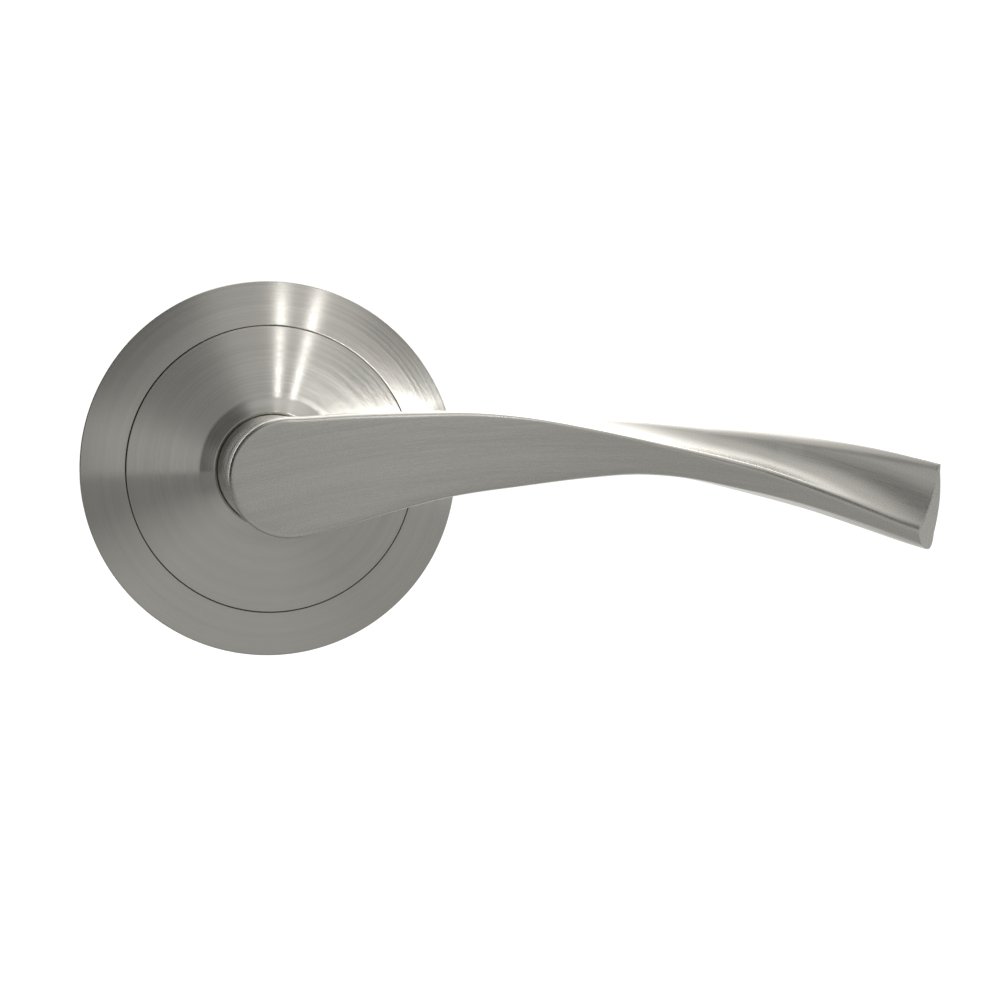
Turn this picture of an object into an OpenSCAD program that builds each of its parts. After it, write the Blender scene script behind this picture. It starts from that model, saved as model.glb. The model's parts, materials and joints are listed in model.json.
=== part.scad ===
// Door lever handle on a round two-piece rose, for one side of a door.
// The spindle axis is the Y axis. Y = 0 is the door's face, -Y points out of the door,
// +X runs along the lever to its tip and +Z is up. All sizes are in millimetres.

/* [Rose] */
// Diameter of the rose over its rim
rose_d = 65; // [64:0.5:67]
// Height of the upright rim above the door
rim_h = 3; // [3:0.1:4]
// Diameter of the seam between the outer ring and the inner disc
seam_d = 49.4; // [49:0.1:50]
// Slope of the outer ring in degrees
ring_slope = 18; // [18:0.5:20]
// Slope of the inner disc in degrees
disc_slope = 16; // [16:0.5:18]
// Slope of the disc's collar round the neck in degrees
collar_slope = 32; // [24:1:36]
// Sheet thickness of the ring and the disc
sheet_t = 1; // [0.8:0.1:1]

/* [Neck] */
// Diameter of the neck in front of the rose
neck_d = 18.8; // [18.6:0.1:19]
// Distance from the door to the back of the grip
neck_end = 38; // [36:1:42]
// Side of the square spindle
spindle_w = 8; // [7.6:0.1:8]
// Length of the spindle behind the door's face
spindle_back = 66; // [50:1:80]

/* [Grip] */
// Thickness of the grip at the neck
grip_t = 8; // [7.5:0.5:9]
// Nominal distance from the spindle axis to the middle of the end face
grip_length = 106.6; // [100:0.2:110]
// Depth of the scoop in the upper face
scoop_depth = 1.2; // [0:0.1:1.3]

/* [Fixings] */
// Distance between the two through bolts
bolt_spacing = 38; // [38:0.5:39]
// Diameter of the through bolts
bolt_d = 4; // [3.5:0.5:4]
// Length of the through bolts behind the door's face
bolt_back = 40; // [30:1:50]
// Distance between the two wood screws
screw_spacing = 49; // [48.5:0.5:49.5]
// Length of the wood screws behind the door's face
screw_back = 16; // [12:1:25]

/* [Spring and stops] */
// Turn of the lever from rest to its lower stop, in degrees
turn = 45; // [30:1:45]
// Wire diameter of the return spring
wire_d = 1; // [0.8:0.1:1]
// Number of turns of the return spring
spring_turns = 1.9; // [1.8:0.1:1.9]
// Diameter of the stop pins
stop_d = 2.4; // [2:0.1:2.6]

/* [Hidden] */
$fn = 64;
eps = 0.02;

nickel = [0.66, 0.65, 0.61];
steel = [0.72, 0.73, 0.74];
casting = [0.55, 0.55, 0.56];
spring_steel = [0.32, 0.32, 0.34];
nylon = [0.9, 0.9, 0.86];
foam = [0.16, 0.16, 0.17];

// Radii of the rose, and the height of its outer surface at a radius
rose_r = rose_d / 2;
seam_r = seam_d / 2;
seam_gap = 0.06;
rim_wall = 1.3;
seam_h = rim_h + (rose_r - seam_r) * tan(ring_slope);
function rose_h(r) =
    r > seam_r ? rim_h + (rose_r - r) * tan(ring_slope) : seam_h + (seam_r - r) * tan(disc_slope);
// Radius at which the disc turns up into its collar, and the collar's extra height at a radius
collar_r = 12.4;
function collar_rise(r) = r < collar_r ? (collar_r - r) * (tan(collar_slope) - tan(disc_slope)) : 0;
// Height of the disc's underside without its collar, carried on outwards under the seam
function under_h(r) = seam_h + (seam_r - r) * tan(disc_slope) - sheet_t / cos(disc_slope);

// Neck: the visible part, and the stub that runs in the bush
neck_r = neck_d / 2;
neck_gap = 0.25;
stub_r = 8.05;
stub_start = 0.3;
shoulder = 8.3;
socket_w = spindle_w + 0.2;
socket_end = 28;
spigot_r = 5;
spigot_l = 3.5;
grip_screw_r = 2.5;
grub_r = 2.5;
grub_out = 16;

// Layers of the spring cassette, as distances out from the door's face
gasket_t = 0.8;
cover_t = 1;
cover_front = gasket_t + cover_t;
clip_back = 0.9;
clip_front = 1.7;
clip_groove_r = 7.3;
thrust_back = 1.75;
thrust_front = 2.15;
rotor_back = 2.2;
rotor_front = 3.2;
hub_back = 4.6;
wall_back = 6.3;
wall_front = 7.2;
flange_front = 2.4;
bush_front = 8.2;
pocket_roof = 5.1;
pocket_top = 5.8;

// Plan sizes of the cassette
cavity_r = 14;
cup_r = 15.4;
hub_r = 10.8;
bush_r = 9.3;
base_r = 30.2;
pocket_r = 18.4;
arm_r = 17.8;
arm_w = 4.4;
pin_circle_r = 16.3;
drive_r = 1.1;
stop_r = stop_d / 2;
contact_gap = 0.05;
arm_rest = 90 + turn / 2;
arm_end = 90 - turn / 2;
stop_angle = asin((arm_w / 2 + stop_r + contact_gap) / pin_circle_r);
pocket_margin = 7;
ear_r = 2.8;
ear_circle_r = 17.6;
ear_angles = [35, 145, 215, 325];
cover_screw_r = 1.25;

// Return spring: coil radius, and the layers of its first and last coil
coil_r = 12.6;
coil_back = rotor_front + 0.15 + wire_d / 2;
coil_front = wall_back - 0.05 - wire_d / 2;
leg_offset = drive_r + wire_d / 2 + contact_gap;
leg_angle = arm_rest - asin(leg_offset / coil_r);
hook_angle = leg_angle + 360 * spring_turns;
hook_end = 7;

// Each lug has a spigot in the base plate, a collar in the gasket and a body in the door
lug_spigot_r = 3.2;
lug_collar_r = 3.6;
lug_r = 3.9;
lug_back = 5;
bolt_r = bolt_d / 2;
bolt_shank_r = bolt_r - 0.2;
bolt_thread_start = lug_back + 1;
screw_r = 1.75;
screw_seat = 3;
screw_neck_r = 1.4;
boss_r = 3.5;

// The grip is a bar of four faces between four rails. Each rail is a list of
// [distance along the lever, distance out of the door, height], for the nominal length and neck.
nominal_length = 106.6;
nominal_neck_end = 38;
grip_front = neck_end + grip_t;
grip_r = neck_r;
scale_x = grip_length / nominal_length;
function at(x, out, z) = [x, out + neck_end - nominal_neck_end, z];
crease_rail = [
    at(0, 38 + grip_t, grip_r), at(10, 38 + grip_t, 9.9), at(20, 46.1, 10.15), at(29, 46.3, 10.1),
    at(38, 46.4, 9.2), at(48, 46.5, 7.35), at(58, 46.3, 5.1), at(70, 45.9, 2.1), at(82, 45.3, -1.3),
    at(94, 44.2, -5.3), at(104, 42.9, -9.1), at(112, 41.8, -11.8)
];
lower_front_rail = [
    at(0, 38 + grip_t, -grip_r), at(3, 38 + grip_t, -9.05), at(8, 38 + grip_t, -7.8), at(17, 46, -5.25),
    at(26, 46, -3.15), at(37, 45.9, -1.7), at(48, 45.4, -0.5), at(56, 44.9, -0.05), at(64, 44.6, -0.6),
    at(74, 44.1, -2.6), at(84, 43.4, -4.8), at(94, 42.5, -7.6), at(104, 41.5, -10.8), at(112, 40.6, -13.7)
];
lower_back_rail = [
    at(0, 38, -grip_r), at(3, 38, -9.05), at(8, 38, -7.7), at(17, 37.8, -4.9), at(26, 37.4, -2.4),
    at(37, 37, -0.6), at(48, 36.8, 0.7), at(58, 36.5, 0.6), at(70, 36.2, -2.1), at(84, 36.2, -6.3),
    at(94, 36.5, -10), at(104, 37, -13.6), at(112, 37.4, -15.6)
];
top_back_rail = [
    at(0, 38, grip_r), at(10, 38, 9.95), at(22, 37.7, 10.25), at(34, 37.3, 10.2), at(46, 36.9, 9.8),
    at(58, 36.5, 9.6), at(70, 36.3, 9.5), at(82, 36.6, 8.35), at(94, 37.2, 6.1), at(104, 37.8, 3.4),
    at(112, 38.2, 1)
];
// Depth of the scoop in the upper face along the lever
scoop = [[0, 0], [26, 0], [50, 0.4 * scoop_depth], [80, scoop_depth], [112, 0.75 * scoop_depth]];
// Bulge of the back face along the lever
back_bulge = [[0, 0], [40, 0], [70, 0.3], [112, 0.9]];
// Corner roundings along the lever: crease, lower front, lower back, top back
crease_round = [[0, 1], [20, 1], [40, 0.5], [55, 0.6], [70, 1], [112, 1]];
lower_front_round = [[0, 1], [30, 1.5], [56, 1.6], [70, 0.7], [112, 0.6]];
lower_back_round = [[0, 1], [12, 1], [40, 3.6], [90, 4], [112, 4.2]];
top_back_round = [[0, 1], [30, 2], [58, 3.2], [68, 4.6], [84, 4.2], [96, 3.4], [112, 2.2]];
// The end face leans back and to the side by these ratios
end_lean_out = -0.92;
end_lean_up = 0.12;
end_mid_out = neck_end + 1.6;
end_mid_z = -4;
lean_start = 76;
stations = 46;
face_steps = 5;
corner_steps = 3;

// Point of a rail at x, by a cubic through its points
function span(rail, x, i = 0) = i >= len(rail) - 2 || x < rail[i + 1][0] ? i : span(rail, x, i + 1);
// A rail starts level, so that it runs on smoothly from the round end
function rail_slope(rail, i) =
    let (a = max(i - 1, 0), b = min(i + 1, len(rail) - 1))
    i == 0 ? [1, 0, 0] : (rail[b] - rail[a]) / (rail[b][0] - rail[a][0]);
function on_rail(rail, x) =
    let (
        i = span(rail, x),
        h = rail[i + 1][0] - rail[i][0],
        t = (x - rail[i][0]) / h
    )
    rail[i] * (2 * t ^ 3 - 3 * t ^ 2 + 1)
    + rail_slope(rail, i) * h * (t ^ 3 - 2 * t ^ 2 + t)
    + rail[i + 1] * (3 * t ^ 2 - 2 * t ^ 3)
    + rail_slope(rail, i + 1) * h * (t ^ 3 - t ^ 2);
function rail_point(rail, x) = let (p = on_rail(rail, x)) [p[1], p[2]];
function bezier(a, b, c, t) = a * (1 - t) ^ 2 + 2 * b * t * (1 - t) + c * t ^ 2;
function unit(v) = v / norm(v);

// Outline of the bar at x, as [out, height] points: rounded corners, a hollow upper face, a bulged back
function side(a, b, ra, rb, hollow = 0) =
    let (
        d = unit(b - a),
        inward = [d[1], -d[0]],
        start = a + ra * d,
        end = b - rb * d
    )
    [
        for (i = [0:face_steps - 1])
            let (s = i / face_steps)
            start + s * (end - start) + 4 * s * (1 - s) * hollow * inward
    ];
function corner(a, p, b, r) =
    let (start = p + r * unit(a - p), end = p + r * unit(b - p))
    [for (i = [0:corner_steps - 1]) bezier(start, p, end, i / corner_steps)];
function section(x) =
    let (
        k = rail_point(crease_rail, x),
        f = rail_point(lower_front_rail, x),
        g = rail_point(lower_back_rail, x),
        h = rail_point(top_back_rail, x),
        rk = lookup(x, crease_round),
        rf = lookup(x, lower_front_round),
        rg = lookup(x, lower_back_round),
        rh = lookup(x, top_back_round)
    )
    concat(
        corner(h, k, f, rk), side(k, f, rk, rf),
        corner(k, f, g, rf), side(f, g, rf, rg),
        corner(f, g, h, rg), side(g, h, rg, rh, -lookup(x, back_bulge)),
        corner(g, h, k, rh), side(h, k, rh, rk, lookup(x, scoop))
    );
// The last stations lean over, so that the end face is oblique
function lean(x, p) =
    let (s = max(0, (x - lean_start) / (nominal_length - lean_start)))
    x + s * (end_lean_out * (p[0] - end_mid_out) + end_lean_up * (p[1] - end_mid_z));
function grip_ring(x) = [for (p = section(x)) [lean(x, p) * scale_x, -p[0], p[1]]];

module facing() {
    rotate([90, 0, 0]) children();
}

module raised(from, to, r) {
    translate([0, 0, from]) cylinder(r = r, h = to - from);
}

module tube(from, to, inner, outer) {
    rotate_extrude() translate([inner, from]) square([outer - inner, to - from]);
}

module both_sides(spacing) {
    for (side = [-1, 1]) translate([side * spacing / 2, 0, 0]) children();
}

module above_and_below(spacing) {
    for (side = [-1, 1]) translate([0, side * spacing / 2, 0]) children();
}

module on_circle(r, angles) {
    for (angle = angles) rotate([0, 0, angle]) translate([r, 0, 0]) children();
}

// Flat shape of a sector from one angle to another
module sector(r, from, to) {
    steps = 24;
    polygon(concat([[0, 0]], [
        for (i = [0:steps])
            let (a = from + (to - from) * i / steps)
            r * [cos(a), sin(a)]
    ]));
}

module pocket_plan(grow) {
    side_grow = grow * 3.6;
    sector(
        pocket_r + grow,
        arm_end - stop_angle - pocket_margin - side_grow,
        arm_rest + stop_angle + pocket_margin + side_grow
    );
}

module cover_plan(grow) {
    circle(r = cavity_r + 1.7 + grow);
    pocket_plan(1.5 + grow);
    on_circle(ear_circle_r, ear_angles) circle(r = ear_r + grow);
}

// Solid made of rings of points, closed at both ends
module ring_loft(rings) {
    n = len(rings[0]);
    last = len(rings) - 1;
    points = [for (ring = rings) for (p = ring) p];
    walls = [
        for (i = [0:last - 1])
            for (j = [0:n - 1])
                let (k = (j + 1) % n)
                each [
                    [i * n + j, (i + 1) * n + j, i * n + k],
                    [(i + 1) * n + j, (i + 1) * n + k, i * n + k]
                ]
    ];
    caps = [[for (j = [0:n - 1]) j], [for (j = [n - 1:-1:0]) last * n + j]];
    polyhedron(points = points, faces = concat(walls, caps), convexity = 6);
}

module lever_grip() {
    rings = [for (i = [0:stations]) grip_ring(nominal_length * i / stations)];
    color(nickel) difference() {
        union() {
            ring_loft(rings);
            facing() rotate([0, 0, 90]) rotate_extrude(angle = 180) round_end_profile();
        }
        facing() raised(neck_end - 1, neck_end + spigot_l + 0.2, spigot_r + 0.03);
        facing() raised(neck_end, neck_end + 6.5, grip_screw_r + eps);
    }
}

// Half section of the round end: radius across, distance out of the door up
module round_end_profile() {
    start = section(0);
    front = [for (i = [0:corner_steps]) start[i]];
    back_first = 3 * (corner_steps + face_steps);
    back = [for (i = [0:corner_steps]) start[back_first + i]];
    polygon(concat(
        [[0, grip_front]],
        [for (i = [corner_steps:-1:0]) [front[i][1], front[i][0]]],
        [for (i = [corner_steps:-1:0]) [back[i][1], back[i][0]]],
        [[0, neck_end]]
    ));
}

module lever_neck() {
    chamfer = 0.5;
    color(nickel) facing() difference() {
        union() {
            rotate_extrude() polygon([
                [0, stub_start], [stub_r - 0.4, stub_start], [stub_r, stub_start + 0.4], [stub_r, shoulder],
                [neck_r, shoulder], [neck_r, neck_end - chamfer], [neck_r - chamfer, neck_end],
                [spigot_r, neck_end], [spigot_r, neck_end + spigot_l], [0, neck_end + spigot_l]
            ]);
        }
        translate([-socket_w / 2, -socket_w / 2, 0]) cube([socket_w, socket_w, socket_end]);
        raised(socket_end - 1, neck_end + spigot_l + 1, grip_screw_r + 0.2);
        tube(clip_back, clip_front, clip_groove_r, stub_r + 1);
        translate([0, 0, grub_out]) rotate([90, 0, 0]) cylinder(r = grub_r + eps, h = neck_r + 1);
        for (side = [0, 180])
            rotate([0, 0, side]) translate([stub_r - 1.3, -1.5, 0]) cube([2, 3, rotor_front + 0.1]);
    }
}

module grip_screw() {
    head_h = 3;
    color(steel) facing() difference() {
        union() {
            raised(socket_end - head_h, socket_end, 3.7);
            raised(socket_end, neck_end + 6.2, grip_screw_r);
        }
        translate([0, 0, socket_end - head_h - 1]) cylinder(r = 2.3, h = 2.8, $fn = 6);
    }
}

module grub_screw() {
    color(steel) facing() translate([0, 0, grub_out]) rotate([90, 0, 0]) difference() {
        translate([0, 0, spindle_w / 2 + contact_gap]) cylinder(r = grub_r, h = 4.6);
        translate([0, 0, spindle_w / 2 + 2.8]) cylinder(r = 1.44, h = 3, $fn = 6);
    }
}

module spindle() {
    edge = 0.5;
    w = spindle_w / 2;
    front = socket_end - 3.5;
    color(steel) facing() translate([0, 0, -spindle_back]) linear_extrude(front + spindle_back) polygon([
        [w - edge, w], [w, w - edge], [w, edge - w], [w - edge, -w],
        [edge - w, -w], [-w, edge - w], [-w, w - edge], [edge - w, w]
    ]);
}

module rotor() {
    thick = rotor_front - rotor_back;
    color(steel) facing() translate([0, 0, rotor_back]) linear_extrude(thick) difference() {
        union() {
            circle(r = hub_r + 0.8);
            rotate([0, 0, arm_rest]) translate([0, -arm_w / 2]) square([arm_r - arm_w / 2, arm_w]);
            rotate([0, 0, arm_rest]) translate([arm_r - arm_w / 2, 0]) circle(r = arm_w / 2);
        }
        difference() {
            circle(r = stub_r + 0.05);
            for (side = [0, 180]) rotate([0, 0, side]) translate([stub_r - 1.2, -1.4]) square([2, 2.8]);
        }
        rotate([0, 0, arm_rest]) translate([pin_circle_r, 0]) circle(r = drive_r - 0.3);
    }
}

module drive_pin() {
    color(steel) facing() on_circle(pin_circle_r, [arm_rest]) {
        raised(rotor_back, rotor_front, drive_r - 0.3);
        raised(rotor_front, pocket_roof - 0.4, drive_r);
    }
}

module circlip() {
    outer = 9.6;
    gap = 24;
    eye_angles = [270 - gap - 8, 270 + gap + 8];
    color(spring_steel) facing() translate([0, 0, clip_back + 0.05])
        linear_extrude(clip_front - clip_back - 0.1) difference() {
            union() {
                circle(r = outer);
                on_circle(8.7, eye_angles) circle(r = 1.5);
            }
            circle(r = clip_groove_r + 0.05);
            sector(outer + 3, 270 - gap, 270 + gap);
            on_circle(8.8, eye_angles) circle(r = 0.6);
        }
}

module thrust_washer() {
    color(steel) facing() tube(thrust_back, thrust_front, stub_r + 0.05, hub_r - 0.8);
}

module wave_washer() {
    inner = stub_r + 0.2;
    outer = hub_r - 0.2;
    thick = 0.3;
    swing = 0.48;
    mid = (rotor_front + hub_back) / 2;
    steps = 72;
    points = [
        for (i = [0:steps - 1])
            let (a = 360 * i / steps, out = mid + swing * sin(3 * a))
            each [
                for (corner = [[inner, -1], [outer, -1], [outer, 1], [inner, 1]])
                    [corner[0] * cos(a), corner[0] * sin(a), out + corner[1] * thick / 2]
            ]
    ];
    faces = [
        for (i = [0:steps - 1])
            for (j = [0:3])
                let (a = 4 * i, b = 4 * ((i + 1) % steps), k = (j + 1) % 4)
                each [[a + j, a + k, b + j], [b + j, a + k, b + k]]
    ];
    color(spring_steel) facing() polyhedron(points = points, faces = faces);
}

module neck_bush() {
    color(nylon) facing() rotate_extrude() polygon([
        [stub_r + 0.05, hub_back], [bush_r, hub_back], [bush_r, wall_front + contact_gap],
        [hub_r, wall_front + contact_gap], [hub_r, bush_front - 0.2], [hub_r - 0.3, bush_front],
        [stub_r + 0.05, bush_front]
    ]);
}

module base_plate() {
    hub_bore = bush_r + eps;
    color(casting) facing() difference() {
        union() {
            rotate_extrude() polygon([
                [hub_bore, gasket_t], [base_r, gasket_t], [base_r, flange_front], [cup_r, flange_front],
                [cup_r, wall_front - 0.6], [cup_r - 1, wall_front], [hub_bore, wall_front]
            ]);
            translate([0, 0, gasket_t]) linear_extrude(pocket_top - gasket_t) pocket_plan(0.9);
            on_circle(ear_circle_r, ear_angles) raised(gasket_t, 5.4, 2.4);
            above_and_below(screw_spacing) raised(gasket_t, screw_seat, boss_r);
        }
        difference() {
            raised(0, wall_back, cavity_r);
            tube(hub_back, wall_back + 1, 0, hub_r);
        }
        raised(0, wall_front + 1, hub_bore);
        linear_extrude(pocket_roof) pocket_plan(0);
        linear_extrude(cover_front + eps) cover_plan(0.1);
        on_circle(ear_circle_r, ear_angles) raised(0, 4.8, cover_screw_r + eps);
        on_circle(coil_r, [hook_angle]) raised(wall_back - 1, wall_front + 1, wire_d / 2 + 0.15);
        both_sides(bolt_spacing) raised(0, flange_front + 1, lug_spigot_r + eps);
        above_and_below(screw_spacing) raised(0, screw_seat + 1, screw_r + 0.15);
        above_and_below(screw_spacing) translate([0, 0, screw_seat - 1.6])
            cylinder(r1 = screw_r + 0.15, r2 = 3.4, h = 1.61);
        rotate_extrude() translate([base_r + 0.4, 1.6]) circle(r = 0.6);
    }
}

module cassette_cover() {
    color(steel) facing() translate([0, 0, gasket_t]) difference() {
        linear_extrude(cover_t) difference() {
            cover_plan(0);
            circle(r = hub_r - 0.4);
        }
        on_circle(ear_circle_r, ear_angles) {
            raised(-1, cover_t + 1, cover_screw_r + 0.1);
            translate([0, 0, -0.01]) cylinder(r1 = 2.3, r2 = cover_screw_r + 0.1, h = 0.9);
        }
        on_circle(pin_circle_r, [arm_rest + stop_angle, arm_end - stop_angle])
            raised(-1, cover_t + 1, stop_r - 0.3);
    }
}

module cover_screws() {
    color(steel) facing() on_circle(ear_circle_r, ear_angles) difference() {
        union() {
            translate([0, 0, gasket_t]) cylinder(r1 = 2.15, r2 = cover_screw_r, h = 0.85);
            raised(gasket_t + 0.8, 4.6, cover_screw_r);
        }
        cross_recess(gasket_t, 0.7, 2);
    }
}

// Cross recess in a screw head that faces the door, from its face inwards
module cross_recess(face, depth, width) {
    slot = width / 4;
    for (angle = [0, 90])
        rotate([0, 0, angle]) translate([-width / 2, -slot / 2, face - 1]) cube([width, slot, depth + 1]);
}

module stop_pins() {
    color(steel) facing() on_circle(pin_circle_r, [arm_rest + stop_angle, arm_end - stop_angle]) {
        raised(gasket_t + 0.05, cover_front, stop_r - 0.3);
        raised(cover_front, rotor_front - 0.1, stop_r);
    }
}

// Centre line of the spring, in face-on coordinates: leg, bend, coil, bend and hook
function coil_point(a) =
    let (s = (a - leg_angle) / (hook_angle - leg_angle))
    [coil_r * cos(a), coil_r * sin(a), coil_back + s * (coil_front - coil_back)];
function leg_point(r) =
    let (c = cos(arm_rest), s = sin(arm_rest))
    [r * c + leg_offset * s, r * s - leg_offset * c, coil_back];
function lifted(p, out) = [p[0], p[1], out];
spring_path =
    let (
        bend = 7.5,
        coil_steps = 44,
        coil_start = leg_angle + bend,
        coil_stop = hook_angle - bend / 1.5,
        hook = coil_point(hook_angle)
    )
    concat(
        [leg_point(arm_r), leg_point(15.8)],
        [for (t = [0:0.25:0.75]) bezier(leg_point(14.2), leg_point(coil_r), coil_point(coil_start), t)],
        [for (i = [0:coil_steps]) coil_point(coil_start + (coil_stop - coil_start) * i / coil_steps)],
        [for (t = [0.34, 0.67]) bezier(coil_point(coil_stop), hook, lifted(hook, coil_front + 0.8), t)],
        [lifted(hook, coil_front + 0.8), lifted(hook, hook_end)]
    );
function heading(path, i) = unit(path[min(i + 1, len(path) - 1)] - path[max(i - 1, 0)]);
// One frame vector per point, carried along the path without twist
function carried(path, i, v) =
    let (t = heading(path, i), n = unit(v - (v * t) * t))
    i == len(path) - 1 ? [n] : concat([n], carried(path, i + 1, n));

module return_spring() {
    frames = carried(spring_path, 0, [0, 0, 1]);
    sides = 8;
    rings = [
        for (i = [0:len(spring_path) - 1])
            let (n = frames[i], b = cross(heading(spring_path, i), n))
            [
                for (j = [0:sides - 1])
                    let (a = -360 * j / sides)
                    spring_path[i] + wire_d / 2 * (cos(a) * n + sin(a) * b)
            ]
    ];
    color(spring_steel) facing() ring_loft(rings);
}

module rose_ring() {
    inner_r = rose_r - rim_wall;
    edge = 0.25;
    seat = 1.8;
    drop = sheet_t / cos(ring_slope);
    color(nickel) facing() rotate_extrude() polygon([
        [inner_r, 0], [rose_r - 0.2, 0], [rose_r, 0.2], [rose_r, rim_h - edge],
        [rose_r - edge, rose_h(rose_r - edge)], [seam_r + seam_gap + 0.12, rose_h(seam_r + 0.2)],
        [seam_r + seam_gap, seam_h - 0.16], [seam_r + seam_gap, under_h(seam_r + seam_gap) - eps],
        [seam_r - seat, under_h(seam_r - seat) - eps], [seam_r - seat, under_h(seam_r - seat) - 0.6],
        [seam_r - 0.3, seam_h - drop - 0.55], [inner_r, rim_h - 0.6]
    ]);
}

module rose_disc() {
    hole_r = neck_r + neck_gap;
    edge_r = seam_r - seam_gap;
    bevel = 0.4;
    lip_r = hole_r + bevel;
    lip_h = rose_h(lip_r) + collar_rise(lip_r);
    turn_in = collar_r - 0.4;
    turn_out = collar_r + 0.4;
    color(nickel) facing() rotate_extrude() polygon([
        [edge_r, under_h(edge_r)], [edge_r, rose_h(edge_r) - 0.12], [edge_r - 0.12, rose_h(edge_r - 0.12)],
        [turn_out, rose_h(turn_out)], [turn_in, rose_h(turn_in) + collar_rise(turn_in)],
        [lip_r, lip_h], [hole_r, lip_h - bevel * 0.6],
        [hole_r, under_h(hole_r) + collar_rise(hole_r)], [collar_r, under_h(collar_r)]
    ]);
}

module snap_ring() {
    gap = 14;
    color(spring_steel) facing() rotate([0, 0, 270 + gap / 2]) rotate_extrude(angle = 360 - gap)
        translate([base_r + 0.4, 1.6]) circle(r = 0.55);
}

module through_bolts() {
    color(steel) facing() both_sides(bolt_spacing) difference() {
        union() {
            translate([0, 0, -bolt_back]) cylinder(r1 = bolt_r - 0.5, r2 = bolt_r, h = 0.5);
            raised(0.5 - bolt_back, -bolt_thread_start, bolt_r);
            raised(-bolt_thread_start, flange_front, bolt_shank_r);
            raised(flange_front, flange_front + 1.6, 3.4);
            translate([0, 0, flange_front + 1.6]) cylinder(r1 = 3.4, r2 = 2.4, h = 0.7);
        }
        for (angle = [0, 90])
            rotate([0, 0, angle]) translate([-1.9, -0.45, flange_front + 0.8]) cube([3.8, 0.9, 3]);
    }
}

module fixing_lugs() {
    color(steel) facing() both_sides(bolt_spacing) difference() {
        union() {
            raised(-lug_back, 0, lug_r);
            raised(0, gasket_t, lug_collar_r);
            raised(gasket_t, flange_front, lug_spigot_r);
        }
        raised(-lug_back - 1, flange_front + 1, bolt_r + 0.1);
    }
}

module wood_screws() {
    point_l = 5;
    color(steel) facing() above_and_below(screw_spacing) difference() {
        union() {
            translate([0, 0, screw_seat - 1.6]) cylinder(r1 = screw_neck_r, r2 = 3.2, h = 1.6);
            raised(0, screw_seat - 1.5, screw_neck_r);
            raised(point_l - screw_back, 0, screw_r);
            translate([0, 0, -screw_back]) cylinder(r1 = 0.3, r2 = screw_r, h = point_l);
        }
        for (angle = [0, 90])
            rotate([0, 0, angle]) translate([-1.8, -0.4, screw_seat - 1.1]) cube([3.6, 0.8, 2]);
    }
}

module backing_gasket() {
    color(foam) facing() difference() {
        tube(0, gasket_t, 14.5, 30.9);
        both_sides(bolt_spacing) raised(-1, gasket_t + 1, lug_r + 0.1);
        above_and_below(screw_spacing) raised(-1, gasket_t + 1, screw_r + 0.2);
    }
}

lever_grip();
lever_neck();
grip_screw();
grub_screw();
spindle();
rotor();
drive_pin();
circlip();
thrust_washer();
wave_washer();
neck_bush();
base_plate();
cassette_cover();
cover_screws();
stop_pins();
return_spring();
rose_ring();
rose_disc();
snap_ring();
through_bolts();
fixing_lugs();
wood_screws();
backing_gasket();
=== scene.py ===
"""Looks of a door lever handle on a round rose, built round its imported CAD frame.

The row frame is the CAD's: the spindle axis is Y, the door's face is Y = 0, -Y is out of the
door, +X runs along the lever and +Z is up. Outlines below are written as in the CAD, in
millimetres, with "out" for the distance out of the door. Meshes are made in metres.
"""
import json
import math

import bmesh
import bpy
import numpy as np
from mathutils import Matrix, Vector


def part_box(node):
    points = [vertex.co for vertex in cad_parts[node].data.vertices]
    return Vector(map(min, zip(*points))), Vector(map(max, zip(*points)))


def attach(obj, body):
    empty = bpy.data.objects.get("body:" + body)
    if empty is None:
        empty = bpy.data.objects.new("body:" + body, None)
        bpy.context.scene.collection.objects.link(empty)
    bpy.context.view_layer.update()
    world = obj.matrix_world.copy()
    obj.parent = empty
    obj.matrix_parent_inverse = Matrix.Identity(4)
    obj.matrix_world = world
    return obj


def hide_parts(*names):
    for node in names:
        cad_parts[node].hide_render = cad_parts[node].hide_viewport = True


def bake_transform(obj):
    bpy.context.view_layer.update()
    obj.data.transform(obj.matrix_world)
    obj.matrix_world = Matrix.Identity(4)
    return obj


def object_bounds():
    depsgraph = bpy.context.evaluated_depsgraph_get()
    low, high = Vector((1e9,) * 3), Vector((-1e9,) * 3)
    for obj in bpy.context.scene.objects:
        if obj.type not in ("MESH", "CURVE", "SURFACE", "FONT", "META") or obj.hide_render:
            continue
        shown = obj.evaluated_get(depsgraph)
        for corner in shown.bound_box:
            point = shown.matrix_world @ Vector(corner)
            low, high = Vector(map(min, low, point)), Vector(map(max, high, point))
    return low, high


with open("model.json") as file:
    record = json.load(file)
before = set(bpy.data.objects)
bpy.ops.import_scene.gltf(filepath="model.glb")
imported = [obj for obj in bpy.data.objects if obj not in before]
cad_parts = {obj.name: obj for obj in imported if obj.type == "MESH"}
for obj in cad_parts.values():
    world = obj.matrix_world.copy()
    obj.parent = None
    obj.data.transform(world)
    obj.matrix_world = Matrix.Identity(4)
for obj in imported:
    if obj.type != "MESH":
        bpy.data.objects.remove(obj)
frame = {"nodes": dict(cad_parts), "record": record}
cad_low, cad_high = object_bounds()

MM = 0.001
TURN = 2 * math.pi
# A length below this, in millimetres, counts as nothing
TINY = 1e-6


# ---------------------------------------------------------------- mesh building

def to_frame(points):
    """Points given as (x, out, z) in millimetres, in the row frame in metres."""
    points = np.asarray(points, float)
    return np.stack([points[..., 0], -points[..., 1], points[..., 2]], -1) * MM


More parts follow.
